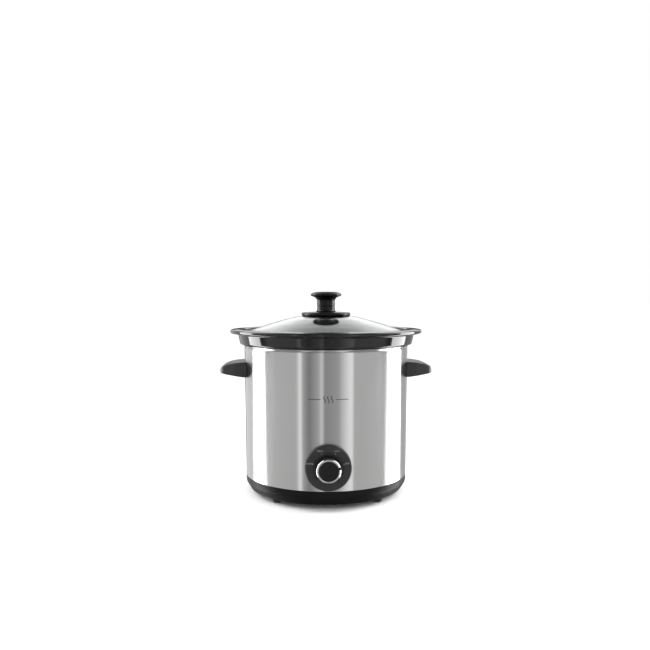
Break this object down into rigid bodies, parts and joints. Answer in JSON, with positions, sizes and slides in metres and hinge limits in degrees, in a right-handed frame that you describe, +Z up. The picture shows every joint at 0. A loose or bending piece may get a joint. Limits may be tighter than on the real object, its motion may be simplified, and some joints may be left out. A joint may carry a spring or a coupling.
{
  "type": "slow cooker",
  "caption": "Round countertop slow cooker with a steel housing, lift-out stoneware crock, domed glass lid, side handles and a rotary control.",
  "frame": {"origin": "on the housing's axis at the plane of the feet", "axes": "+Z up along the housing's axis, -Y towards the front with the control, +X to the right as seen from the front"},
  "size_m": [0.309, 0.2831, 0.2963],
  "materials": {
    "shell_steel": "brushed round the body, satin",
    "black_moulding": "fine satin moulding",
    "foot_rubber": "matt",
    "handle_black": "satin moulding",
    "gland_black": "plain nylon",
    "well_aluminised": "aluminised sheet, dull",
    "zinc_steel": "zinc plated",
    "band_steel": "dull sheet over mica",
    "tab_brass": "plain",
    "fuse_can": "plain",
    "dial_black": "satin moulding",
    "switch_moulding": "unpainted moulding",
    "lead_sleeve": "silicone sleeve",
    "knob_black": "satin moulding",
    "ring_chrome": "bright",
    "shaft_aluminium": "machined",
    "glazed_stoneware": "high gloss black glaze",
    "lid_glass": "clear tempered",
    "lid_knob_black": "satin phenolic",
    "insert_brass": "plain",
    "silicone": "translucent silicone"
  },
  "bodies": {
    "housing": {"outer_shell": "shell_steel", "base_tray": "black_moulding", "foot_front_left": "foot_rubber", "foot_front_right": "foot_rubber", "foot_rear_left": "foot_rubber", "foot_rear_right": "foot_rubber", "handle_left": "handle_black", "handle_right": "handle_black", "handle_screws_left": "zinc_steel", "handle_screws_right": "zinc_steel", "cord_gland": "gland_black", "inner_well": "well_aluminised", "well_stud": "zinc_steel", "base_washer": "zinc_steel", "base_nut": "zinc_steel", "heater_band": "band_steel", "band_clamp": "zinc_steel", "heater_terminals": "tab_brass", "thermal_fuse": "fuse_can", "fuse_clip": "zinc_steel", "dial_plate": "dial_black", "switch_body": "switch_moulding", "switch_nut": "zinc_steel", "switch_terminals": "tab_brass", "lead_switch_heater": "lead_sleeve", "lead_switch_fuse": "lead_sleeve", "lead_fuse_heater": "lead_sleeve"},
    "control": {"control_knob": "knob_black", "knob_ring": "ring_chrome", "switch_shaft": "shaft_aluminium"},
    "crock": {"crock": "glazed_stoneware"},
    "lid": {"lid_glass": "lid_glass", "lid_knob": "lid_knob_black", "lid_knob_flange": "lid_knob_black", "knob_insert": "insert_brass", "upper_gasket": "silicone", "lower_gasket": "silicone", "lid_washer": "zinc_steel", "lid_screw": "zinc_steel"}
  },
  "joints": [
    {"name": "control_turn", "type": "hinge", "parent": "housing", "child": "control", "pos_m": [0, -0.12, 0.0612], "axis": [0, -1, 0], "range_deg": [0, 150]},
    {"name": "crock_lift", "type": "slide", "parent": "housing", "child": "crock", "axis": [0, 0, 1], "range_m": [0, 0.2]},
    {"name": "lid_lift", "type": "slide", "parent": "crock", "child": "lid", "axis": [0, 0, 1], "range_m": [0, 0.12]}
  ]
}
